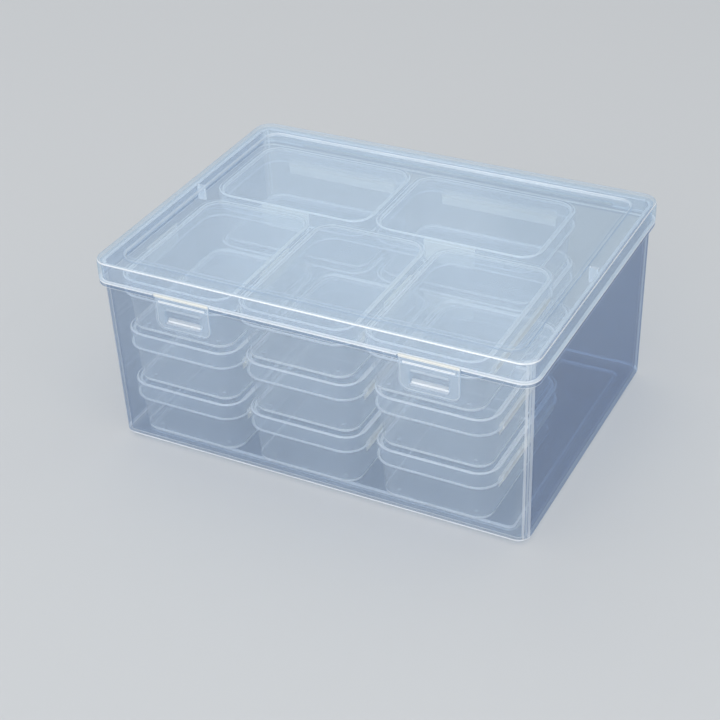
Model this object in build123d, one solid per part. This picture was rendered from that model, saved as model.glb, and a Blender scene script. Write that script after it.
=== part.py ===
from build123d import *
import os
from math import atan, cos, degrees, radians, sin

# Storage case with a hinged lid, two flip latches and fifteen small flip-top boxes in three tiers.
# Sizes are in millimetres. +X runs along the front from left to right, +Y to the back, +Z up.
# The origin is the centre of the footprint, on the surface that the case stands on.

# Small flip-top box
box_length = 67.5
box_depth = 47.0
box_height = 22.3
box_corner = 8.7
box_lid_height = 6.9
box_lid_wall = 1.0
box_lid_top = 1.1
tub_wall = 0.9
tub_floor = 1.0
tub_inset_bottom = 2.6
tub_inset_top = 1.55
tub_lid_gap = 0.1
box_hinge_end = 9.75
box_ledge_height = 1.0
clasp_width = 20.5
clasp_height = 8.6
clasp_thickness = 1.1
clasp_corner = 2.5
nib_length = 12.0
nib_height = 1.0
nib_clearance = 0.15

# Room round the small boxes in the case, measured at its floor
tiers = ("low", "middle", "top")
left_gap = 2.5
column_gaps = (2.2, 4.2)
side_room = 12.1
front_gap = 0.2
row_gap = 2.0
rear_gap = 0.3
rear_left_gap = 0.2
rear_row_gap = 1.4
head_room = 5.4

# Flat facets in each rounded corner of a drafted wall or an inner wall
corner_facets = 6

# Case walls
lid_corner = 6.5
case_wall = 1.3
floor_thickness = 1.4

# Case body: its drafted wall stands inside the skirt of the lid, above an outward rim
body_inset_bottom = 2.7
body_inset_rim = 1.9
body_corner = 5.0
bottom_edge = 1.5
bottom_edge_steps = 2
rim_thickness = 1.8
rim_setback = 0.1
rim_gap = 0.1
spigot_gap = 0.3

# Stacking: a ring under the floor sits in the sunk panel of the lid below
foot_height = 1.0
foot_width = 2.0
stack_clearance = 0.6
panel_depth = 1.0
panel_border_x = 8.6
panel_border_y = 7.9
panel_corner = 4.5

# Case lid
skirt_height = 8.1
lid_edge_radius = 1.2
stay_reach = 3.4
stay_thickness = 1.2
stay_offset_y = 5.0
stay_clearance = 0.4

# Rear web hinge of the case
hinge_end = 18.5
hinge_web = 0.5
hinge_strip_height = 1.8
hinge_gap = 0.1
hinge_axis_offset = 0.1

# Front latches
latch_end = 37.3
latch_width = 22.2
latch_height = 13.5
latch_thickness = 1.2
latch_corner = 3.5
latch_grip = 0.7
window_width = 14.4
window_height = 5.6
window_sill = 2.6
catch_height = 2.2
catch_lip = 0.7
catch_clearance = 0.1
window_clearance = 0.3
latch_side_gap = 0.5

# Small shifts of the top tier, as the boxes lie loosely in the case
top_shifts = {
    "front_left": (-0.4, 0.2),
    "front_middle": (-1.2, 0.1),
    "front_right": (-3.0, 0.3),
    "rear_left": (0.2, 0.8),
    "rear_right": (0.0, 0.8),
}

# The case is sized to hold the small boxes
column_count = len(column_gaps) + 1
floor_length = left_gap + column_count * box_depth + sum(column_gaps) + side_room
floor_depth = front_gap + box_length + row_gap + box_depth + rear_gap
floor_inset = body_inset_bottom + case_wall
case_length = floor_length + 2 * floor_inset
case_depth = floor_depth + 2 * floor_inset
hinge_length = case_length - 2 * hinge_end
latch_places = (latch_end - case_length / 2, case_length / 2 - latch_end)
box_hinge_length = box_length - 2 * box_hinge_end

# Levels of the case, from the table up
floor_top = foot_height + floor_thickness
stack_top = floor_top + len(tiers) * box_height
stay_bottom = stack_top + stay_clearance
case_height = stack_top + head_room + case_wall + panel_depth
skirt_bottom = case_height - skirt_height
rim_top = skirt_bottom - rim_gap
rim_bottom = rim_top - rim_thickness
border_underside = case_height - case_wall
panel_top = case_height - panel_depth
panel_underside = panel_top - case_wall
spigot_top = border_underside - spigot_gap
body_draft = degrees(atan((body_inset_bottom - body_inset_rim) / (rim_top - foot_height)))
hinge_level = skirt_bottom + hinge_strip_height / 2
hinge_y = case_depth / 2 + hinge_axis_offset
latch_level = (skirt_bottom + rim_top) / 2
latch_y = -case_depth / 2 - hinge_axis_offset
latch_top = rim_top

# Levels and draft of a small box, from its own underside
lid_band_bottom = box_height - box_lid_height
tub_top = box_height - box_lid_top - tub_lid_gap
ledge_top = lid_band_bottom - tub_lid_gap
tub_draft = degrees(atan((tub_inset_bottom - tub_inset_top) / tub_top))
box_hinge_y = box_depth / 2 + hinge_axis_offset
box_hinge_level = (lid_band_bottom + ledge_top) / 2


def body_inset(level):
    """Distance from the outline of the lid to the outside of the case wall, at a level."""
    share = (level - foot_height) / (rim_top - foot_height)
    return body_inset_bottom + (body_inset_rim - body_inset_bottom) * share


def tub_inset(level):
    """Distance from the outline of a small box to the outside of its tub wall, at a level."""
    return tub_inset_bottom + (tub_inset_top - tub_inset_bottom) * level / tub_top


def round_slab(length, depth, corner, bottom, top):
    """Upright block with true round corners."""
    outline = Pos(0, 0, bottom) * RectangleRounded(length, depth, corner)
    return extrude(outline, top - bottom, dir=(0, 0, 1))


def facet_slab(length, depth, corner, bottom, top, lean=0.0):
    """Block with corners of short facets; lean is the angle by which its walls open outwards."""
    points = []
    for turn, (side_x, side_y) in enumerate(((1, 1), (-1, 1), (-1, -1), (1, -1))):
        for step in range(corner_facets + 1):
            angle = radians(90 * (turn + step / corner_facets))
            x = side_x * (length / 2 - corner) + corner * cos(angle)
            y = side_y * (depth / 2 - corner) + corner * sin(angle)
            points.append((x, y))
    outline = Pos(0, 0, bottom) * make_face(Polyline(*points, close=True))
    straight = extrude(outline, top - bottom, dir=(0, 0, 1))
    if lean == 0:
        return straight
    walls = straight.faces().sort_by(Axis.Z)[1:-1]
    return draft(walls, Plane.XY.offset(bottom), -lean)


def case_slab(inset, bottom, top):
    """Round block that keeps a distance inside the outline of the case lid."""
    return round_slab(case_length - 2 * inset, case_depth - 2 * inset, lid_corner - inset, bottom, top)


def body_slab(inset, bottom, top, lean=0.0):
    """Drafted block that keeps a distance inside the outline of the case lid."""
    corner = body_corner + body_inset_bottom - inset
    return facet_slab(case_length - 2 * inset, case_depth - 2 * inset, corner, bottom, top, lean)


def tub_slab(inset, bottom, top, lean=0.0):
    """Drafted block that keeps a distance inside the outline of a small box."""
    return facet_slab(box_length - 2 * inset, box_depth - 2 * inset, box_corner - inset, bottom, top, lean)


def bar(x0, x1, y0, y1, z0, z1):
    """Straight block between two corners."""
    centre = Pos((x0 + x1) / 2, (y0 + y1) / 2, (z0 + z1) / 2)
    return centre * Box(x1 - x0, y1 - y0, z1 - z0)


def x_profile(points, x0, x1):
    """Bar along X with the outline given as points in Y and Z."""
    face = make_face(Plane.YZ.offset(x0) * Polyline(*points, close=True))
    return extrude(face, x1 - x0, dir=(1, 0, 0))


def case_catch(x):
    """Wedge on the front wall that shows in the window of a latch."""
    low = latch_top - latch_height + window_sill
    high = low + catch_height
    face_y = -case_depth / 2 + latch_thickness + catch_clearance
    root_y = -case_depth / 2 + body_inset(low) + case_wall / 2
    wall_y = -case_depth / 2 + body_inset(high)
    points = [(face_y, low), (root_y, low), (root_y, high), (wall_y, high), (face_y, low + catch_lip)]
    half = window_width / 2 - window_clearance
    return x_profile(points, x - half, x + half)


def case_base():
    """Drafted tub with an outward rim, latch notches, catches, hinge strip and stacking ring."""
    edge_top = foot_height + bottom_edge
    shell = body_slab(body_inset(edge_top), edge_top, spigot_top, body_draft)
    quarter = [radians(90 * step / bottom_edge_steps) for step in range(bottom_edge_steps + 1)]
    for low, high in zip(quarter, quarter[1:]):
        bottom = foot_height + bottom_edge * (1 - cos(low))
        top = foot_height + bottom_edge * (1 - cos(high))
        inset = body_inset(edge_top) + bottom_edge * (1 - sin(low))
        out = bottom_edge * (sin(high) - sin(low))
        shell += body_slab(inset, bottom, top, degrees(atan(out / (top - bottom))))
    rim = case_slab(rim_setback, rim_bottom, rim_top)
    for x in latch_places:
        half = latch_width / 2 + latch_side_gap
        wall_y = -case_depth / 2 + body_inset(rim_bottom)
        rim -= bar(x - half, x + half, -case_depth / 2, wall_y, rim_bottom, rim_top)
    shell += rim
    ring_x = case_length - 2 * (panel_border_x + stack_clearance)
    ring_y = case_depth - 2 * (panel_border_y + stack_clearance)
    ring_corner = panel_corner - stack_clearance
    ring = facet_slab(ring_x, ring_y, ring_corner, 0, floor_top - floor_thickness / 2)
    hole_corner = ring_corner - foot_width
    hole = facet_slab(ring_x - 2 * foot_width, ring_y - 2 * foot_width, hole_corner, 0, foot_height)
    shell += ring - hole
    shell -= body_slab(body_inset(floor_top) + case_wall, floor_top, spigot_top, body_draft)
    for x in latch_places:
        shell += case_catch(x)
    strip_y = case_depth / 2 - rim_setback
    strip_top = hinge_level - hinge_gap / 2
    shell += bar(-hinge_length / 2, hinge_length / 2, strip_y - hinge_web, strip_y, rim_bottom, strip_top)
    return shell


def case_lid():
    """Shallow lid with a sunk stacking panel, a skirt, a hinge strip and two stays for the side walls."""
    shell = case_slab(0, skirt_bottom, case_height)
    highest = shell.edges().group_by(Axis.Z)[-1]
    shell = fillet(highest, lid_edge_radius)
    shell -= case_slab(case_wall, skirt_bottom, border_underside)
    panel_x = case_length - 2 * panel_border_x
    panel_y = case_depth - 2 * panel_border_y
    grow = 2 * case_wall
    step_corner = panel_corner + case_wall
    shell += facet_slab(panel_x + grow, panel_y + grow, step_corner, panel_underside, border_underside)
    shell -= round_slab(panel_x, panel_y, panel_corner, panel_top, case_height)
    for side in (-1, 1):
        outer = case_length / 2 - body_inset(skirt_bottom) - case_wall - stay_clearance
        ends = sorted((side * outer, side * (outer - stay_reach)))
        y0 = stay_offset_y - stay_thickness / 2
        shell += bar(ends[0], ends[1], y0, y0 + stay_thickness, stay_bottom, border_underside)
    back = case_depth / 2
    half = hinge_length / 2
    strip_bottom = hinge_level + hinge_gap / 2
    strip_top = skirt_bottom + hinge_strip_height
    shell -= bar(-half, half, back - case_wall, back, skirt_bottom, strip_top)
    shell += bar(-half, half, back - hinge_web, back, strip_bottom, strip_top)
    return shell


def latch(x):
    """Flip latch with a window; it hangs flush with the front of the skirt."""
    front = -case_depth / 2
    plate = Pos(x, front, latch_top - latch_height / 2) * Rot(90, 0, 0) * Rectangle(latch_width, latch_height)
    body = extrude(plate, latch_thickness, dir=(0, 1, 0))
    low_corners = body.edges().filter_by(Axis.Y).group_by(Axis.Z)[0]
    body = fillet(low_corners, latch_corner)
    sill = latch_top - latch_height + window_sill
    half = window_width / 2
    body -= bar(x - half, x + half, front, front + latch_thickness, sill, sill + window_height)
    inner_low = body.faces().sort_by(Axis.Y)[-1].outer_wire().edges().filter_by(Axis.X).sort_by(Axis.Z)[0]
    return chamfer(inner_low, latch_grip)


def box_base():
    """Tub of a small box: drafted walls, a hinge ledge at the back and a clasp nib in front."""
    shell = tub_slab(tub_inset_bottom, 0, tub_top, tub_draft)
    shell -= tub_slab(tub_inset(tub_floor) + tub_wall, tub_floor, tub_top, tub_draft)
    half = box_hinge_length / 2
    ledge_bottom = ledge_top - box_ledge_height
    wall_y = box_depth / 2 - tub_inset(ledge_bottom) - tub_wall / 2
    shell += bar(-half, half, wall_y, box_depth / 2, ledge_bottom, ledge_top)
    nib_top = ledge_top - nib_clearance
    face_y = -box_depth / 2 + nib_clearance
    shell += bar(-nib_length / 2, nib_length / 2, face_y, -wall_y, nib_top - nib_height, nib_top)
    return shell


def box_lid():
    """Cap of a small box with its clasp tab in front."""
    shell = round_slab(box_length, box_depth, box_corner, lid_band_bottom, box_height)
    shell -= tub_slab(box_lid_wall, lid_band_bottom, box_height - box_lid_top)
    front = -box_depth / 2
    level = box_height - box_lid_top / 2 - clasp_height / 2
    plate = Pos(0, front, level) * Rot(90, 0, 0) * Rectangle(clasp_width, clasp_height)
    tab = extrude(plate, clasp_thickness, dir=(0, -1, 0))
    tab = chamfer(tab.edges().filter_by(Axis.Y).group_by(Axis.Z)[0], clasp_corner)
    return shell + tab


def stack_places():
    """Column name, centre of its footprint and turn about Z. The front row turns its hinges to the right."""
    front_y = -floor_depth / 2 + front_gap + box_length / 2
    rear_y = floor_depth / 2 - rear_gap - box_depth / 2
    places = {}
    x = -floor_length / 2 + left_gap + box_depth / 2
    for name, gap in zip(("front_left", "front_middle", "front_right"), column_gaps + (0,)):
        places[name] = (x, front_y, -90)
        x += box_depth + gap
    x = -floor_length / 2 + rear_left_gap + box_length / 2
    for name in ("rear_left", "rear_right"):
        places[name] = (x, rear_y, 0)
        x += box_length + rear_row_gap
    return places


def small_boxes():
    """The tub and lid of every small box at its place, by node name."""
    tub = box_base()
    cap = box_lid()
    pieces = {}
    for column, (x, y, turn) in stack_places().items():
        for tier, tier_name in enumerate(tiers):
            shift_x, shift_y = top_shifts[column] if tier_name == "top" else (0, 0)
            place = Pos(x + shift_x, y + shift_y, floor_top + tier * box_height) * Rot(0, 0, turn)
            pieces[f"{column}_{tier_name}_base"] = place * tub
            pieces[f"{column}_{tier_name}_lid"] = place * cap
    return pieces


def all_pieces():
    """Every piece of the case, by node name."""
    pieces = {
        "case_base": case_base(),
        "case_lid": case_lid(),
        "left_latch": latch(latch_places[0]),
        "right_latch": latch(latch_places[1]),
    }
    pieces.update(small_boxes())
    return pieces


if __name__ == "__main__":
    os.makedirs("parts", exist_ok=True)
    for node, shape in all_pieces().items():
        export_step(shape, f"parts/{node}.step")
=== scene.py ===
import math

import bpy
from mathutils import Matrix, Vector


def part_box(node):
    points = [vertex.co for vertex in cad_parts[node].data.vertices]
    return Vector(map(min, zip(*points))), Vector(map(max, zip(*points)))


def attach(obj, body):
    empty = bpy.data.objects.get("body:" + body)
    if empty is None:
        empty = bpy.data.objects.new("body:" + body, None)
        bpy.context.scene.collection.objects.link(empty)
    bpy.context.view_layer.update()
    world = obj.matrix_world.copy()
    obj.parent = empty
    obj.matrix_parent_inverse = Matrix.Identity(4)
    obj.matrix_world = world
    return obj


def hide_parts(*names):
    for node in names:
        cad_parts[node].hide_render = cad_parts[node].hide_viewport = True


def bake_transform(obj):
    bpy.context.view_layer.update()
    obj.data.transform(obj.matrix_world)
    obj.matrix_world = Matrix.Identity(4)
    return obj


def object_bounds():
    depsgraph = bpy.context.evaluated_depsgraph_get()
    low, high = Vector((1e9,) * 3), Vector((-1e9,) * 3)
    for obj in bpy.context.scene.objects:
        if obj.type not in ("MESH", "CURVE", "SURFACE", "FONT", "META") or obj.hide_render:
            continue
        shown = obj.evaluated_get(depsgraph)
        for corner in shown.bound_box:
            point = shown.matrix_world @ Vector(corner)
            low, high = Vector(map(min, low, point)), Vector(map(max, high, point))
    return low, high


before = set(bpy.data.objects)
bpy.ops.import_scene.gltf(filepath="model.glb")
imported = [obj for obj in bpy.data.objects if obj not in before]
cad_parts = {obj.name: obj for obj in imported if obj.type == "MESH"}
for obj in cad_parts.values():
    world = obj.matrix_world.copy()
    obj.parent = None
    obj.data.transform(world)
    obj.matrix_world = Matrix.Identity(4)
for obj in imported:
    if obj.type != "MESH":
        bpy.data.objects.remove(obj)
cad_bounds = [list(map(float, corner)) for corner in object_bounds()]

# Lengths are in millimetres until a helper turns them into metres.
# +X runs along the front to the right, +Y to the back and +Z up.
# In the names, HALF is half a width and ROUND is the radius of an edge. IN is how far a face
# lies in from the outline, and SUNK is how far a form goes into the one that carries it.
MM = 0.001
NEAR = 0.02  # how far off a level a point may be and still count as on it
WELD = 0.002  # points closer together than this become one
LEVEL = 0.9  # a face counts as facing along an axis from this share of its normal on
UPRIGHT = 0.1  # a face counts as upright below this share of its normal along Z
CLEAR = 1.0  # how far a cutting block reaches past what it cuts
SMOOTH_ANGLE = 50

# Case as a whole: half its length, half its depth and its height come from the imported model
CASE_X, CASE_Y, CASE_TOP = (round(reach / MM, 3) for reach in cad_bounds[1])
CASE_CORNER = 6.5
CASE_WALL = 1.3

# Case body: a drafted wall from the foot up into the lid
FOOT = 1.0
BODY_CORNER = 5.0
BODY_ROUND = 1.5
BODY_IN_LOW = 2.7
BODY_IN_TOP = 1.83
SPIGOT_TOP = 75.4
SPIGOT_ROUND = 0.3

# Stacking ring under the floor
RING_X = 75.8
RING_Y = 54.0
RING_WIDTH = 2.0
RING_CORNER = 3.9
RING_ROUND = 0.5
RING_SUNK = 0.6

# Rim outside the body's wall; its notches leave room for the latches
RIM_LOW = 67.0
RIM_TOP = 68.8
RIM_IN = 0.1
RIM_ROUND = 0.3
CORE_IN = 2.6  # inner side of the rim, inside the wall's thickness
CORE_CORNER = 4.6

# Catches on the front wall; their front and back are measured in from the case's front
CATCH_HALF = 6.9
CATCH_LOW = 57.9
CATCH_TOP = 60.1
CATCH_FRONT = 1.3
CATCH_BACK = 2.6
CATCH_SLOPE = 1.4

# Rear hinge of the case: a strip on the rim, and a seat cut in the lid's skirt above it
HINGE_HALF = 66.5
HINGE_TOP = 69.75
HINGE_THICK = 0.5
HINGE_SUNK = 0.5
GAP_HEIGHT = 0.95  # the skirt ends this much higher over the strip
SEAT_HEIGHT = 1.8  # and is thin up to here, both from the skirt's lower edge
SEAT_IN = 2.0
SEAT_WALL = 0.5

# Case lid; the sunk panel takes the ring of the case above
SKIRT_LOW = 68.9
SKIRT_ROUND = 0.25
LID_ROUND = 1.2
STACK_GAP = 0.6
PANEL_X = RING_X + STACK_GAP
PANEL_Y = RING_Y + STACK_GAP
PANEL_CORNER = RING_CORNER + STACK_GAP
PANEL_DEPTH = 1.0
PANEL_ROUND = 0.15
STAY_INNER = 77.95
STAY_OUTER = 81.35
STAY_FRONT = 4.4
STAY_BACK = 5.6
STAY_LOW = 69.7
STAY_SUNK = 0.3
STAY_ROUND = 0.4

# Latches; the groove's drop is measured from the latch's top, the window's sill from its bottom
LATCH_X = 47.7
LATCH_HALF = 11.1
LATCH_HEIGHT = 13.5
LATCH_THICK = 1.2
LATCH_CORNER = 3.5
LATCH_ROUND = 0.25
SILL = 2.6
WINDOW_HALF = 7.2
WINDOW_HEIGHT = 5.6
WINDOW_ROUND = 0.6
GROOVE_HALF = 9.5
GROOVE_DROP = 1.9
GROOVE_HEIGHT = 0.7
GROOVE_DEPTH = 0.3
NOTCH_HALF = LATCH_HALF + 0.5
NOTCH_BACK = 1.95

# Small box: its long side along X, its clasp at -Y, heights from its own bottom
BOX_X = 33.75
BOX_Y = 23.5
BOX_HEIGHT = 22.3
BOX_CORNER = 8.7
BAND_LOW = 15.4  # lower edge of the cap
BAND_ROUND = 0.25

# Tub of a small box, with a painted highlight line round its foot
TUB_IN_LOW = 2.6
TUB_IN_TOP = 1.55
TUB_TOP = 21.1
TUB_WALL = 0.9
TUB_ROUND = 1.15
BRIM_ROUND = 0.22
LINE_LOW = 1.2
LINE_TOP = 1.65

# Marks of the mould on the tub's floor
MARK_X = 27.4
MARK_Y = 14.8
MARK_LOW = 0.6
MARK_ROUND = 0.06
EJECTOR_RADIUS = 0.75
EJECTOR_TOP = 1.08
GATE_RADIUS = 0.6
GATE_TOP = 1.15

# Hinge ledge and hinge plate behind the tub
BOX_HINGE_HALF = 24.0
LEDGE_DEPTH = 2.3
LEDGE_LOW = BAND_LOW - 1.1
LEDGE_TOP = BAND_LOW - 0.1
PLATE_FACE = 1.7
PLATE_HEIGHT = 3.8
PLATE_TOP = BAND_LOW - 0.6
PLATE_THICK = 0.7
PLATE_ROUND = 0.12

# Nib in front of the tub, under the cap's edge
NIB_HALF = 6.0
NIB_FRONT = 0.15
NIB_BACK = 2.3
NIB_LOW = BAND_LOW - 1.25
NIB_TOP = BAND_LOW - 0.25
NIB_ROUND = 0.35

# Cap of a small box, with a fine step in its top and a hinge strap behind
CAP_WALL = 1.0
CAP_ROUND = 0.7
CAP_STEP_IN = 0.9
CAP_STEP = 0.3
STRAP_OUT = 0.06
STRAP_SUNK = 0.5
STRAP_HEIGHT = 1.3

# Clasp tab on the cap
TAB_HALF = 10.25
TAB_OUT = 1.1
TAB_SUNK = 0.5
TAB_LOW = 13.15
TAB_TOP = 21.75
TAB_CORNER = 2.5
TAB_ROUND = 0.35

# Faces that get a painted highlight, where rounded edges and corners would catch the light, as
# shares of a face's normal: along Z on the edges, and along X or Y on the corners of the case's
# body
TUB_FOOT_LIGHT = (-0.4, -0.1)
CAP_TOP_LIGHT = (0.5, 0.98)
LID_TOP_LIGHT = (0.3, 0.7)
BODY_FOOT_LIGHT = (-0.7, -0.15)
CORNER_LIGHT_X = (0.64, 0.68)
CORNER_LIGHT_Y = (0.3, 0.46)

# Flexible webs: lower and upper corner of each strip
CASE_WEB = ((-HINGE_HALF, CASE_Y - 0.45, 69.3), (HINGE_HALF, CASE_Y - 0.15, 70.3))
LATCH_WEB_Y = (-CASE_Y + 0.05, -CASE_Y + 0.35)
LATCH_WEB_Z = (68.2, 69.5)
SMALL_LID_WEB = ((65.7, -48.2, 61.75), (65.95, -0.3, 62.95))
WEB_CUTS = 5


# Working with operators
def leave_edit():
    if bpy.context.object and bpy.context.object.mode != "OBJECT":
        bpy.ops.object.mode_set(mode="OBJECT")


def activate(obj):
    """Select only this object and make it the active one."""
    leave_edit()
    bpy.ops.object.select_all(action="DESELECT")
    obj.select_set(True)
    bpy.context.view_layer.objects.active = obj


def pick(obj, kind, test):
    """Enter edit mode with those vertices, edges or faces selected that pass the test."""
    activate(obj)
    mesh = obj.data
    for group in (mesh.vertices, mesh.edges, mesh.polygons):
        group.foreach_set("select", [False] * len(group))
    points = [v.co / MM for v in mesh.vertices]
    if kind == "VERT":
        for vertex, point in zip(mesh.vertices, points):
            vertex.select = test(point)
    elif kind == "EDGE":
        for edge in mesh.edges:
            edge.select = test(points[edge.vertices[0]], points[edge.vertices[1]])
    else:
        for face in mesh.polygons:
            face.select = test(face.center / MM, face.normal)
    modes = (kind == "VERT", kind == "EDGE", kind == "FACE")
    bpy.context.tool_settings.mesh_select_mode = modes
    bpy.ops.object.mode_set(mode="EDIT")


def apply_modifier(obj, kind, **values):
    activate(obj)
    modifier = obj.modifiers.new(kind.lower(), kind)
    for key, value in values.items():
        setattr(modifier, key, value)
    bpy.ops.object.modifier_apply(modifier=modifier.name)


def settle(name):
    """Name the new object after its piece and take its place, turn and scale into its mesh."""
    obj = bpy.context.object
    obj.name = obj.data.name = name
    bpy.ops.object.transform_apply(location=True, rotation=True, scale=True)
    return obj


def block(name, low, high):
    """Straight block between two corners."""
    leave_edit()
    bpy.ops.object.select_all(action="DESELECT")
    centre = [(a + b) / 2 * MM for a, b in zip(low, high)]
    size = [(b - a) * MM for a, b in zip(low, high)]
    bpy.ops.mesh.primitive_cube_add(size=1, location=centre, scale=size)
    return settle(name)


def disc(name, x, y, radius, low, high):
    """Low round boss with a softened top edge."""
    leave_edit()
    bpy.ops.object.select_all(action="DESELECT")
    middle = (x * MM, y * MM, (low + high) / 2 * MM)
    height = (high - low) * MM
    bpy.ops.mesh.primitive_cylinder_add(
        vertices=24, radius=radius * MM, depth=height, location=middle
    )
    obj = settle(name)
    round_edges(obj, MARK_ROUND, lambda a, b: min(a.z, b.z) > high - NEAR, 2)
    return obj


def rounded_block(name, half_x, half_y, corner, low, high, segments=8):
    """Block with rounded vertical corners, centred on the Z axis."""
    obj = block(name, (-half_x, -half_y, low), (half_x, half_y, high))
    round_edges(obj, corner, lambda a, b: abs(a.z - b.z) > NEAR, segments)
    return obj


def spread(obj, level, share_x, share_y):
    """Scale the vertices at one level about the Z axis."""
    pick(obj, "VERT", lambda p: abs(p.z - level) < NEAR)
    bpy.ops.transform.resize(value=(share_x, share_y, 1), center_override=(0, 0, level * MM))
    leave_edit()


def at_level(level):
    """Test for edges that lie at one level."""
    return lambda a, b: abs(a.z - level) < NEAR and abs(b.z - level) < NEAR


def every_face(c, n):
    return True


def facing_up(level):
    """Test for faces that face up, at a level or above."""
    return lambda c, n: n.z > LEVEL and c.z > level - NEAR


def facing_down(level):
    """Test for faces that face down, at a level or below."""
    return lambda c, n: n.z < -LEVEL and c.z < level + NEAR


def leaning(low, high):
    """Test for faces whose normal has a share along Z between two values."""
    return lambda c, n: low < n.z < high


def along_y(a, b):
    return abs(a.y - b.y) > NEAR


def place_of(obj, material):
    """Place of a material in the piece's list; without one, new faces take their neighbours'."""
    return obj.data.materials.find(material.name) if material else -1


def round_edges(obj, radius, test, segments=3, material=None):
    """Round the edges that pass the test; the new faces may get one of the piece's materials."""
    pick(obj, "EDGE", test)
    bpy.ops.mesh.bevel(
        offset=radius * MM, segments=segments, affect="EDGES", material=place_of(obj, material)
    )
    leave_edit()


def drop_faces(obj, test):
    pick(obj, "FACE", test)
    bpy.ops.mesh.delete(type="FACE")
    leave_edit()


def thicken(obj, wall):
    """Give an open skin its wall, on the inner side."""
    pick(obj, "FACE", every_face)
    bpy.ops.mesh.remove_doubles(threshold=1e-6)
    bpy.ops.mesh.normals_make_consistent(inside=False)
    leave_edit()
    apply_modifier(obj, "SOLIDIFY", thickness=wall * MM, offset=-1.0, use_even_offset=True)


def combine(obj, other, operation):
    apply_modifier(obj, "BOOLEAN", operation=operation, solver="EXACT", object=other)
    bpy.data.meshes.remove(other.data)


def cut(obj, *others):
    """Cut other pieces out of this one. Faces keep the place of their material in the list."""
    for other in others:
        combine(obj, other, "DIFFERENCE")


def merge(obj, *others):
    """Merge other pieces into this one. Faces keep the place of their material in the list."""
    for other in others:
        combine(obj, other, "UNION")


def smooth(obj):
    """Weld the slivers that the booleans leave, then shade smooth with the flats kept flat."""
    pick(obj, "FACE", every_face)
    bpy.ops.mesh.remove_doubles(threshold=WELD * MM)
    bpy.ops.mesh.dissolve_degenerate(threshold=WELD * MM)
    activate(obj)
    bpy.ops.object.shade_smooth_by_angle(angle=math.radians(SMOOTH_ANGLE))
    apply_modifier(obj, "WEIGHTED_NORMAL", keep_sharp=True)


def dress(obj, materials):
    obj.data.materials.clear()
    for material in materials:
        obj.data.materials.append(material)


def paint(obj, material, test):
    """Give the faces that pass the test one of the piece's materials."""
    index = place_of(obj, material)
    for face in obj.data.polygons:
        if test(face.center / MM, face.normal):
            face.material_index = index


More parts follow.
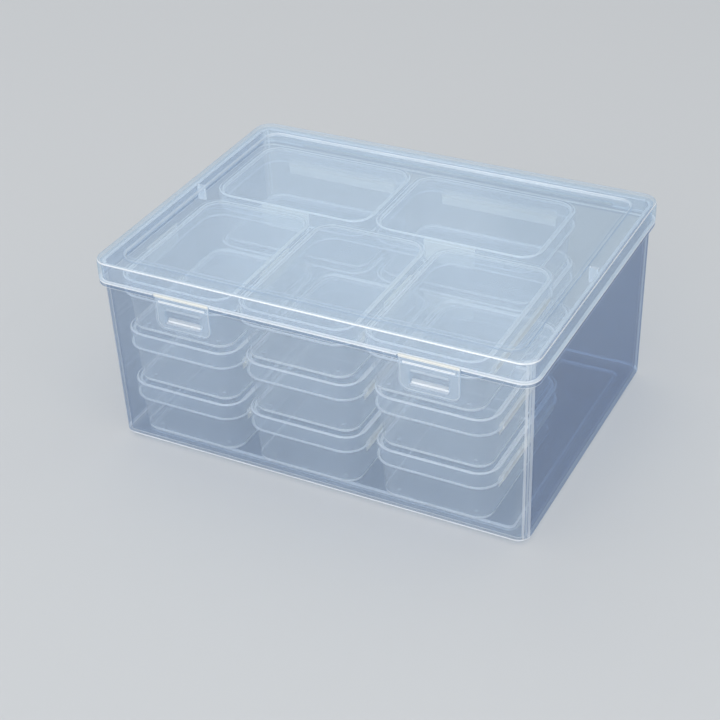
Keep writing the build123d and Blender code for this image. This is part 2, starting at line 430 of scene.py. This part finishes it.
# Finishes
def plastic(
    name, colour, tint, haze, rim_haze, roughness, shine=0.035, rim_shine=0.5, deep=None
):
    """See-through head on, milky at a slant and shiny edge-on; deep is the tint at a slant."""
    material = bpy.data.materials.new(name)
    material.use_nodes = True
    tree = material.node_tree
    tree.nodes.clear()
    link = tree.links.new

    def node(kind, **values):
        made = tree.nodes.new(kind)
        for key, value in values.items():
            made.inputs[key.replace("_", " ")].default_value = value
        return made

    def power(source, exponent):
        made = tree.nodes.new("ShaderNodeMath")
        made.operation = "POWER"
        made.inputs[1].default_value = exponent
        link(source, made.inputs[0])
        return made.outputs["Value"]

    def blend(share, first, second):
        made = node("ShaderNodeMixShader")
        link(share, made.inputs["Fac"])
        link(first, made.inputs[1])
        link(second, made.inputs[2])
        return made.outputs["Shader"]

    # Share of milky plastic: more at a slant, and slightly uneven
    place = node("ShaderNodeTexCoord")
    cloud = node("ShaderNodeTexNoise", Scale=38.0, Detail=1.0, Roughness=0.6)
    link(place.outputs["Object"], cloud.inputs["Vector"])
    slant = node("ShaderNodeLayerWeight", Blend=0.35)
    milk = node("ShaderNodeMapRange", To_Min=haze, To_Max=rim_haze)
    link(slant.outputs["Facing"], milk.inputs["Value"])
    vary = node("ShaderNodeMapRange", From_Min=0.3, From_Max=0.7, To_Min=0.88, To_Max=1.12)
    link(cloud.outputs["Fac"], vary.inputs["Value"])
    uneven = tree.nodes.new("ShaderNodeMath")
    uneven.operation = "MULTIPLY"
    uneven.use_clamp = True
    link(milk.outputs["Result"], uneven.inputs[0])
    link(vary.outputs["Result"], uneven.inputs[1])

    # Faint waviness of a moulded surface
    ripple = node("ShaderNodeTexNoise", Scale=55.0, Detail=0.0)
    link(place.outputs["Object"], ripple.inputs["Vector"])
    relief = node("ShaderNodeBump", Strength=0.05, Distance=0.0005)
    link(ripple.outputs["Fac"], relief.inputs["Height"])

    # Body: tinted and clear, mixed with the milky share
    graze = node("ShaderNodeLayerWeight", Blend=0.5)
    clear = node("ShaderNodeBsdfTransparent", Color=(*tint, 1.0))
    # With deep given, the see-through tint darkens at a slant: partly the longer path through the
    # plastic, partly painted shade.
    if deep:
        slant_darkening = tree.nodes.new("ShaderNodeMix")
        slant_darkening.data_type = "RGBA"
        slant_darkening.inputs[6].default_value = (*tint, 1.0)
        slant_darkening.inputs[7].default_value = (*deep, 1.0)
        link(power(graze.outputs["Facing"], 2.0), slant_darkening.inputs[0])
        link(slant_darkening.outputs[2], clear.inputs["Color"])
    milky = node(
        "ShaderNodeBsdfPrincipled", Base_Color=(*colour, 1.0), Roughness=roughness, IOR=1.49
    )
    link(relief.outputs["Normal"], milky.inputs["Normal"])
    glow = node("ShaderNodeBsdfTranslucent", Color=(*colour, 1.0))
    cloudy = node("ShaderNodeMixShader", Fac=0.45)
    link(milky.outputs["BSDF"], cloudy.inputs[1])
    link(glow.outputs["BSDF"], cloudy.inputs[2])
    body = blend(uneven.outputs["Value"], clear.outputs["BSDF"], cloudy.outputs["Shader"])

    # Gloss on top, strongest edge-on
    mirror = node("ShaderNodeBsdfGlossy", Color=(1.0, 1.0, 1.0, 1.0), Roughness=roughness * 0.7)
    link(relief.outputs["Normal"], mirror.inputs["Normal"])
    share = node("ShaderNodeMapRange", To_Min=shine, To_Max=rim_shine)
    link(power(graze.outputs["Facing"], 4.0), share.inputs["Value"])
    skin = blend(share.outputs["Result"], body, mirror.outputs["BSDF"])

    # Lamp light goes through the plastic nearly undimmed
    path = node("ShaderNodeLightPath")
    lit_through = node("ShaderNodeBsdfTransparent", Color=(0.975, 0.98, 0.985, 1.0))
    whole = blend(path.outputs["Is Shadow Ray"], skin, lit_through.outputs["BSDF"])
    out = node("ShaderNodeOutputMaterial")
    link(whole, out.inputs["Surface"])
    return material


# The deep tint makes the walls darker at a slant: partly the longer path through the plastic,
# mostly painted shade.
WALL = plastic(
    "case clear plastic",
    colour=(0.74, 0.83, 0.92),
    tint=(0.94, 0.955, 0.965),
    haze=0.03,
    rim_haze=0.12,
    roughness=0.16,
    deep=(0.02, 0.20, 0.48),
)
# The deep tint makes the lid darker at a slant: partly the longer path through the plastic, partly
# painted shade.
LID = plastic(
    "lid clear plastic",
    colour=(0.86, 0.93, 0.98),
    tint=(0.975, 0.985, 0.995),
    haze=0.10,
    rim_haze=0.26,
    roughness=0.16,
    deep=(0.48, 0.67, 0.83),
)
TUB = plastic(
    "small tub clear plastic",
    colour=(0.70, 0.75, 0.80),
    tint=(0.985, 0.985, 0.985),
    haze=0.08,
    rim_haze=0.40,
    roughness=0.26,
    shine=0.015,
    rim_shine=0.25,
)
CAP = plastic(
    "small lid clear plastic",
    colour=(0.82, 0.88, 0.93),
    tint=(0.98, 0.985, 0.99),
    haze=0.045,
    rim_haze=0.32,
    roughness=0.26,
    shine=0.01,
    rim_shine=0.25,
)
# Painted highlight: near-opaque white plastic put on rims and rounded edges so that they show as
# bright lines, as if they caught the light.
EDGE = plastic(
    "painted edge highlight",
    colour=(0.95, 0.96, 0.97),
    tint=(0.98, 0.98, 0.98),
    haze=0.97,
    rim_haze=1.0,
    roughness=0.20,
)
# Painted highlight: paler milky plastic put on corner strips, outlines and small marks so that they
# show as soft bright streaks.
PAINTED_GLINT = plastic(
    "painted soft highlight",
    colour=(0.94, 0.95, 0.97),
    tint=(0.97, 0.98, 0.99),
    haze=0.34,
    rim_haze=0.60,
    roughness=0.16,
)
TAB = plastic(
    "clasp tab plastic",
    colour=(0.96, 0.95, 0.91),
    tint=(0.985, 0.985, 0.97),
    haze=0.60,
    rim_haze=0.85,
    roughness=0.28,
)
WEB = plastic(
    "hinge web plastic",
    colour=(0.84, 0.82, 0.77),
    tint=(0.97, 0.97, 0.96),
    haze=0.95,
    rim_haze=1.0,
    roughness=0.30,
)
PLATE = plastic(
    "hinge plate plastic",
    colour=(0.97, 0.94, 0.88),
    tint=(0.97, 0.97, 0.96),
    haze=0.95,
    rim_haze=1.0,
    roughness=0.30,
)

# Pieces that are merged share one list, because a merged face keeps its material's place.
CASE_FINISHES = (WALL, EDGE, PAINTED_GLINT)
LID_FINISHES = (LID, EDGE, PAINTED_GLINT)
TUB_FINISHES = (TUB, EDGE, PLATE, PAINTED_GLINT)
CAP_FINISHES = (CAP, EDGE, WEB, TAB)


# The fifteen small boxes
def tub_form():
    """Drafted tub with a rounded bottom, a hinge ledge and plate behind and a nib in front."""
    low_x, low_y = BOX_X - TUB_IN_LOW, BOX_Y - TUB_IN_LOW
    obj = rounded_block("tub", low_x, low_y, BOX_CORNER - TUB_IN_LOW, LINE_TOP, TUB_TOP)
    dress(obj, TUB_FINISHES)
    spread(obj, TUB_TOP, (BOX_X - TUB_IN_TOP) / low_x, (BOX_Y - TUB_IN_TOP) / low_y)
    pick(obj, "FACE", facing_down(LINE_TOP))
    for step in (LINE_LOW - LINE_TOP, -LINE_LOW):
        bpy.ops.mesh.extrude_region_move(TRANSFORM_OT_translate={"value": (0, 0, step * MM)})
    leave_edit()
    round_edges(obj, TUB_ROUND, at_level(0))
    drop_faces(obj, facing_up(TUB_TOP))
    thicken(obj, TUB_WALL)

    # Painted highlight lines: the outer band at the foot, a strip of the lower rounded edge, and
    # the brim's rounded edges and top.
    def on_painted_foot_line(c, n):
        return LINE_LOW < c.z < LINE_TOP and c.x * n.x + c.y * n.y > 0

    paint(obj, EDGE, on_painted_foot_line)
    paint(obj, EDGE, leaning(*TUB_FOOT_LIGHT))
    round_edges(obj, BRIM_ROUND, at_level(TUB_TOP), 2, EDGE)
    paint(obj, EDGE, facing_up(TUB_TOP))

    back, front = BOX_Y - PLATE_FACE, -BOX_Y + NIB_FRONT
    ledge = block(
        "ledge",
        (-BOX_HINGE_HALF, BOX_Y - LEDGE_DEPTH, LEDGE_LOW),
        (BOX_HINGE_HALF, BOX_Y, LEDGE_TOP),
    )
    nib = block("nib", (-NIB_HALF, front, NIB_LOW), (NIB_HALF, -BOX_Y + NIB_BACK, NIB_TOP))
    round_edges(nib, NIB_ROUND, lambda a, b: max(a.y, b.y) < front + NEAR, 2)
    plate = block(
        "plate",
        (-BOX_HINGE_HALF, back - PLATE_THICK, PLATE_TOP - PLATE_HEIGHT),
        (BOX_HINGE_HALF, back, PLATE_TOP),
    )
    round_edges(plate, PLATE_ROUND, lambda a, b: min(a.y, b.y) > back - NEAR, 2)
    merge(obj, ledge, nib, plate)
    for x in (-MARK_X, MARK_X):
        for y in (-MARK_Y, MARK_Y):
            merge(obj, disc("ejector mark", x, y, EJECTOR_RADIUS, MARK_LOW, EJECTOR_TOP))
    merge(obj, disc("gate mark", 0, 0, GATE_RADIUS, MARK_LOW, GATE_TOP))

    def on_mark(c, n):
        return n.z > LEVEL and EJECTOR_TOP - NEAR < c.z < GATE_TOP + NEAR

    def on_plate(c, n):
        in_height = PLATE_TOP - PLATE_HEIGHT - NEAR < c.z < BAND_LOW
        return c.y > back - NEAR and in_height and abs(c.x) < BOX_HINGE_HALF + NEAR

    # Painted highlight on the tops of the mould marks.
    paint(obj, PAINTED_GLINT, on_mark)
    paint(obj, PLATE, on_plate)
    smooth(obj)
    return obj


def cap_form():
    """Cap with a fine step in its top, a hinge strap behind and a clasp tab in front."""
    obj = rounded_block("cap", BOX_X, BOX_Y, BOX_CORNER, BAND_LOW, BOX_HEIGHT)
    dress(obj, CAP_FINISHES)
    round_edges(obj, CAP_ROUND, at_level(BOX_HEIGHT))
    pick(obj, "FACE", facing_up(BOX_HEIGHT))
    bpy.ops.mesh.inset(thickness=CAP_STEP_IN * MM)
    bpy.ops.mesh.inset(thickness=CAP_STEP * MM, depth=-CAP_STEP * MM)
    leave_edit()
    # Painted highlight on strips of the rounded top edge and on the sloped faces of the step.
    paint(obj, EDGE, leaning(*CAP_TOP_LIGHT))
    drop_faces(obj, facing_down(BAND_LOW))
    thicken(obj, CAP_WALL)
    # Painted highlight on the cap's lower rim and its rounded edges.
    round_edges(obj, BAND_ROUND, at_level(BAND_LOW), 2, EDGE)
    paint(obj, EDGE, facing_down(BAND_LOW))

    front = -BOX_Y - TAB_OUT
    tab = block("tab", (-TAB_HALF, front, TAB_LOW), (TAB_HALF, -BOX_Y + TAB_SUNK, TAB_TOP))
    dress(tab, CAP_FINISHES)

    def at_lower_corner(a, b):
        return max(a.z, b.z) < TAB_LOW + NEAR and along_y(a, b)

    round_edges(tab, TAB_CORNER, at_lower_corner, 5)
    # The tab's front edges get a painted highlight.
    round_edges(tab, TAB_ROUND, lambda a, b: max(a.y, b.y) < front + NEAR, 2, EDGE)
    under = block(
        "under",
        (-TAB_HALF - CLEAR, -BOX_Y, TAB_LOW - CLEAR),
        (TAB_HALF + CLEAR, -BOX_Y + CLEAR, BAND_LOW),
    )
    cut(tab, under)
    strap_top = BAND_LOW + STRAP_HEIGHT
    strap = block(
        "strap",
        (-BOX_HINGE_HALF, BOX_Y - STRAP_SUNK, BAND_LOW),
        (BOX_HINGE_HALF, BOX_Y + STRAP_OUT, strap_top),
    )
    merge(obj, tab, strap)
    paint(obj, WEB, lambda c, n: c.y > BOX_Y + STRAP_OUT - NEAR and c.z < strap_top + NEAR)
    paint(obj, TAB, lambda c, n: c.y < front + NEAR and n.y < -LEVEL)
    paint(obj, TAB, lambda c, n: c.y < -BOX_Y - NEAR and n.z > 0.5)
    smooth(obj)
    return obj


def set_small_boxes():
    """Copy the tub and the cap to the fifteen places; in the front row the clasps face left."""
    tub = tub_form()
    cap = cap_form()
    for column in ("front_left", "front_middle", "front_right", "rear_left", "rear_right"):
        for tier in ("low", "middle", "top"):
            stem = f"{column}_{tier}"
            low, high = (Vector(corner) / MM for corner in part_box(f"{stem}_base"))
            if column.startswith("front"):
                centre = Vector((high.x - BOX_Y, (low.y + high.y) / 2, low.z))
                turn = -90
            else:
                centre = Vector(((low.x + high.x) / 2, high.y - BOX_Y, low.z))
                turn = 0
            place = Matrix.Translation(centre * MM) @ Matrix.Rotation(math.radians(turn), 4, "Z")
            for form, kind in ((tub, "base"), (cap, "lid")):
                node = f"{stem}_{kind}"
                shape = "tub" if kind == "base" else "cap"
                piece = bpy.data.objects.new(f"{stem}_{shape}", form.data.copy())
                bpy.context.collection.objects.link(piece)
                piece.data.transform(place)
                opens = node == "front_right_top_lid"
                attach(piece, "small_lid" if opens else "case")
                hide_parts(node)
    for form in (tub, cap):
        bpy.data.meshes.remove(form.data)


# The case, its lid and its latches
def case_lid_form():
    """Shallow lid: a skirt, a sunk stacking panel, two inner stays and room for the hinge strip."""
    obj = rounded_block("lid", CASE_X, CASE_Y, CASE_CORNER, SKIRT_LOW, CASE_TOP)
    dress(obj, LID_FINISHES)
    round_edges(obj, LID_ROUND, at_level(CASE_TOP), 4)
    # Painted highlight on one strip of the rounded top edge.
    paint(obj, EDGE, leaning(*LID_TOP_LIGHT))
    panel_level, above = CASE_TOP - PANEL_DEPTH, CASE_TOP + CLEAR
    panel = rounded_block("panel", PANEL_X, PANEL_Y, PANEL_CORNER, panel_level, above)
    cut(obj, panel)
    drop_faces(obj, facing_down(SKIRT_LOW))

    def on_panel_brink(a, b):
        return at_level(CASE_TOP)(a, b) and max(abs(a.x), abs(b.x)) < PANEL_X + NEAR

    # Painted highlight on the panel's upper brink; the lower one stays plain.
    round_edges(obj, PANEL_ROUND, on_panel_brink, 2, PAINTED_GLINT)
    round_edges(obj, PANEL_ROUND, at_level(panel_level), 2)
    thicken(obj, CASE_WALL)
    # Painted highlight on the skirt's lower rim and its rounded edges.
    round_edges(obj, SKIRT_ROUND, at_level(SKIRT_LOW), 2, EDGE)
    paint(obj, EDGE, facing_down(SKIRT_LOW))

    ceiling = CASE_TOP - CASE_WALL
    stay_top = ceiling + STAY_SUNK
    for side in (-1, 1):
        left, right = sorted((side * STAY_OUTER, side * STAY_INNER))
        stay = block("stay", (left, STAY_FRONT, STAY_LOW), (right, STAY_BACK, stay_top))
        dress(stay, LID_FINISHES)
        # Painted highlight: the stay in the paler highlight plastic, its lower edges in the bright
        # edge highlight.
        paint(stay, PAINTED_GLINT, every_face)
        round_edges(stay, STAY_ROUND, lambda a, b: min(a.z, b.z) < ceiling, 2, EDGE)
        merge(obj, stay)

    hinge_corner = (-HINGE_HALF, CASE_Y - SEAT_IN, SKIRT_LOW - CLEAR)
    seat = block(
        "seat",
        hinge_corner,
        (HINGE_HALF, CASE_Y - SEAT_WALL, SKIRT_LOW + SEAT_HEIGHT),
    )
    gap = block("gap", hinge_corner, (HINGE_HALF, CASE_Y + CLEAR, SKIRT_LOW + GAP_HEIGHT))
    cut(obj, seat, gap)
    smooth(obj)
    return obj


def on_painted_corner_highlight(c, n):
    """The strips of a rounded corner that get a painted highlight, where they would catch the
    light.
    """
    near_end = CORNER_LIGHT_X[0] < abs(n.x) < CORNER_LIGHT_X[1]
    near_side = CORNER_LIGHT_Y[0] < abs(n.y) < CORNER_LIGHT_Y[1]
    return abs(n.z) < UPRIGHT and (near_end or near_side)


def rim_form():
    """Rim outside the body, under the lid's skirt, with room for the two latches."""
    rim = rounded_block(
        "rim", CASE_X - RIM_IN, CASE_Y - RIM_IN, CASE_CORNER - RIM_IN, RIM_LOW, RIM_TOP
    )
    dress(rim, CASE_FINISHES)
    # The rim's rounded edges get a painted highlight.
    round_edges(rim, RIM_ROUND, lambda a, b: abs(a.z - b.z) < NEAR, 2, EDGE)
    below, above = RIM_LOW - CLEAR, RIM_TOP + CLEAR
    core_x, core_y = CASE_X - CORE_IN, CASE_Y - CORE_IN
    core = rounded_block("core", core_x, core_y, CORE_CORNER, below, above)
    cut(rim, core)
    for side in (-1, 1):
        x = side * LATCH_X
        notch = block(
            "notch",
            (x - NOTCH_HALF, -CASE_Y - CLEAR, below),
            (x + NOTCH_HALF, -CASE_Y + NOTCH_BACK, above),
        )
        cut(rim, notch)
    return rim


def ring_form():
    """Stacking ring under the floor, with both of its lower edges rounded."""
    ring = rounded_block("ring", RING_X, RING_Y, RING_CORNER, 0, FOOT + RING_SUNK)
    dress(ring, CASE_FINISHES)
    # Painted highlight on the ring's rounded lower edges.
    round_edges(ring, RING_ROUND, at_level(0), 2, EDGE)
    inner_x, inner_y = RING_X - RING_WIDTH, RING_Y - RING_WIDTH
    inner_corner = RING_CORNER - RING_WIDTH
    inside = rounded_block("inside", inner_x, inner_y, inner_corner, -CLEAR, FOOT)
    cut(ring, inside)

    def on_inner_edge(a, b):
        within_x = max(abs(a.x), abs(b.x)) < inner_x + NEAR
        within_y = max(abs(a.y), abs(b.y)) < inner_y + NEAR
        return at_level(0)(a, b) and within_x and within_y

    round_edges(ring, RING_ROUND, on_inner_edge, 2, EDGE)
    # Painted highlight on the ring's upright sides.
    paint(ring, EDGE, leaning(-UPRIGHT, UPRIGHT))
    return ring


def catch_form(x):
    """Catch on the front wall: its upper side slopes down to the front."""
    front = -CASE_Y + CATCH_FRONT
    catch = block(
        "catch",
        (x - CATCH_HALF, front, CATCH_LOW),
        (x + CATCH_HALF, -CASE_Y + CATCH_BACK, CATCH_TOP),
    )
    dress(catch, CASE_FINISHES)
    pick(catch, "VERT", lambda p: p.y < front + NEAR and p.z > CATCH_TOP - NEAR)
    bpy.ops.transform.translate(value=(0, 0, -CATCH_SLOPE * MM))
    leave_edit()
    # Painted highlight: the catch in the paler highlight plastic, its front face in the bright edge
    # highlight.
    paint(catch, PAINTED_GLINT, every_face)
    paint(catch, EDGE, lambda c, n: n.y < -LEVEL)
    return catch


def case_base_form():
    """Drafted tub with a rim, a stacking ring, two catches and half of the hinge strip."""
    low_x, low_y = CASE_X - BODY_IN_LOW, CASE_Y - BODY_IN_LOW
    obj = rounded_block("body", low_x, low_y, BODY_CORNER, FOOT, SPIGOT_TOP, 12)
    dress(obj, CASE_FINISHES)
    spread(obj, SPIGOT_TOP, (CASE_X - BODY_IN_TOP) / low_x, (CASE_Y - BODY_IN_TOP) / low_y)
    round_edges(obj, BODY_ROUND, at_level(FOOT), 4)
    # Painted highlight on strips of the foot's rounded edge, on strips of the corners and on the
    # spigot's top.
    paint(obj, EDGE, leaning(*BODY_FOOT_LIGHT))
    paint(obj, PAINTED_GLINT, on_painted_corner_highlight)
    drop_faces(obj, facing_up(SPIGOT_TOP))
    thicken(obj, CASE_WALL)
    round_edges(obj, SPIGOT_ROUND, at_level(SPIGOT_TOP), 2, EDGE)
    paint(obj, EDGE, facing_up(SPIGOT_TOP))
    merge(obj, rim_form())
    merge(obj, ring_form())
    for side in (-1, 1):
        merge(obj, catch_form(side * LATCH_X))
    strip = block(
        "strip",
        (-HINGE_HALF, CASE_Y - RIM_IN - HINGE_THICK, RIM_TOP - HINGE_SUNK),
        (HINGE_HALF, CASE_Y - RIM_IN, HINGE_TOP),
    )
    merge(obj, strip)
    smooth(obj)
    return obj


def latch_form(x):
    """Latch plate with a window and a groove; its lower corners are round."""
    front, top = -CASE_Y, RIM_TOP
    low = top - LATCH_HEIGHT
    obj = block("latch", (x - LATCH_HALF, front, low), (x + LATCH_HALF, front + LATCH_THICK, top))
    dress(obj, LID_FINISHES)
    round_edges(
        obj, LATCH_CORNER, lambda a, b: max(a.z, b.z) < low + NEAR and along_y(a, b), 8
    )
    # The latch's outline edges get a painted highlight.
    round_edges(obj, LATCH_ROUND, lambda a, b: not along_y(a, b), 2, PAINTED_GLINT)
    sill = low + SILL
    window = block(
        "window",
        (x - WINDOW_HALF, front - CLEAR, sill),
        (x + WINDOW_HALF, front + LATCH_THICK + CLEAR, sill + WINDOW_HEIGHT),
    )
    dress(window, LID_FINISHES)
    round_edges(window, WINDOW_ROUND, along_y)
    # Painted highlight on the window's sill and head.
    paint(window, PAINTED_GLINT, lambda c, n: abs(n.z) > 0.5)
    groove_top = top - GROOVE_DROP
    groove = block(
        "groove",
        (x - GROOVE_HALF, front - CLEAR, groove_top - GROOVE_HEIGHT),
        (x + GROOVE_HALF, front + GROOVE_DEPTH, groove_top),
    )
    dress(groove, LID_FINISHES)
    # Painted highlight: the groove shows as a bright line.
    paint(groove, EDGE, every_face)
    cut(obj, window, groove)
    smooth(obj)
    return obj


def finish_piece(obj, name, body, node):
    """Name the piece, tie it to its body and let it stand for its CAD node."""
    obj.name = obj.data.name = name
    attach(obj, body)
    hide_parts(node)


def web(name, low, high, body_low, body_high, slot):
    """Thin strip across a hinge, cut into rows along its height and shaded smooth. The bodies named
    for its lower and upper ends are not used.
    """
    obj = block(name, low, high)
    pick(obj, "EDGE", lambda a, b: abs(a.z - b.z) > NEAR)
    bpy.ops.mesh.subdivide(number_cuts=WEB_CUTS)
    leave_edit()
    dress(obj, (WEB,))
    smooth(obj)
    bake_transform(obj)


set_small_boxes()
finish_piece(case_lid_form(), "lid_shell", "lid", "case_lid")
finish_piece(case_base_form(), "case_shell", "case", "case_base")
finish_piece(latch_form(-LATCH_X), "latch_on_the_left", "left_latch", "left_latch")
finish_piece(latch_form(LATCH_X), "latch_on_the_right", "right_latch", "right_latch")
web("case_hinge_web", *CASE_WEB, "case", "lid", "case_lid")
for side, body in ((-1, "left_latch"), (1, "right_latch")):
    middle_x = side * LATCH_X
    low_corner = (middle_x - LATCH_HALF, LATCH_WEB_Y[0], LATCH_WEB_Z[0])
    high_corner = (middle_x + LATCH_HALF, LATCH_WEB_Y[1], LATCH_WEB_Z[1])
    web(f"{body}_web", low_corner, high_corner, body, "lid", "latch")
web("small_lid_web", *SMALL_LID_WEB, "case", "small_lid", "box")


# Stage, light and camera
# Places and sizes of lamps in metres, powers in watts; camera place in millimetres.
FLOOR_SIZE = 6
LAMP_AIM = (0, 0, 0.04)
SOFTBOXES = (
    ("rear softbox", (-0.97, 0.81, 1.0), (1.5, 1.3), 1.9),
    ("front softbox", (-0.3, -2.6, 1.36), (2.6, 2.0), 60.0),
    ("side softbox", (1.15, -0.35, 0.75), (0.6, 0.6), 3.0),
)
SENSOR = 36
FOCAL_LENGTH = 81.84
CAMERA_PLACE = (239.01, -464.35, 363.47)
CAMERA_RIGHT = (0.891113, 0.452254, -0.037206)
CAMERA_FORWARD = (-0.396165, 0.735363, -0.549814)


def stage_floor():
    bpy.ops.object.select_all(action="DESELECT")
    bpy.ops.mesh.primitive_plane_add(size=FLOOR_SIZE, location=(0, 0, 0))
    floor = bpy.context.object
    floor.name = "floor"
    material = bpy.data.materials.new("pale floor")
    material.use_nodes = True
    shader = material.node_tree.nodes["Principled BSDF"]
    shader.inputs["Base Color"].default_value = (0.60, 0.61, 0.62, 1.0)
    shader.inputs["Roughness"].default_value = 0.8
    shader.inputs["Specular IOR Level"].default_value = 0.15
    floor.data.materials.append(material)


def softbox(name, place, size, power):
    lamp = bpy.data.lights.new(name, "AREA")
    lamp.shape = "RECTANGLE"
    lamp.size, lamp.size_y = size
    lamp.energy = power
    obj = bpy.data.objects.new(name, lamp)
    bpy.context.collection.objects.link(obj)
    obj.location = place
    direction = Vector(LAMP_AIM) - Vector(place)
    obj.rotation_euler = direction.to_track_quat("-Z", "Y").to_euler()


def stage_world():
    world = bpy.data.worlds.new("studio")
    bpy.context.scene.world = world
    world.use_nodes = True
    back = world.node_tree.nodes["Background"]
    back.inputs["Color"].default_value = (0.94, 0.97, 1.0, 1.0)
    back.inputs["Strength"].default_value = 0.66


def stage_camera():
    """Camera at the photograph's place: focal length and direction as fitted to the picture."""
    camera = bpy.data.cameras.new("camera")
    camera.sensor_width = SENSOR
    camera.lens = FOCAL_LENGTH
    camera.clip_start = 0.01
    obj = bpy.data.objects.new("camera", camera)
    bpy.context.collection.objects.link(obj)
    right = Vector(CAMERA_RIGHT).normalized()
    forward = Vector(CAMERA_FORWARD)
    forward = (forward - right * forward.dot(right)).normalized()
    up = right.cross(forward)
    turn = Matrix((right, up, -forward)).transposed()
    obj.matrix_world = Matrix.Translation(Vector(CAMERA_PLACE) * MM) @ turn.to_4x4()
    bpy.context.scene.camera = obj


stage_floor()
stage_world()
for lamp_values in SOFTBOXES:
    softbox(*lamp_values)
stage_camera()

scene = bpy.context.scene
scene.view_settings.view_transform = "Standard"
scene.cycles.transparent_max_bounces = 64
scene.cycles.max_bounces = 8
scene.cycles.diffuse_bounces = 3
scene.cycles.glossy_bounces = 3
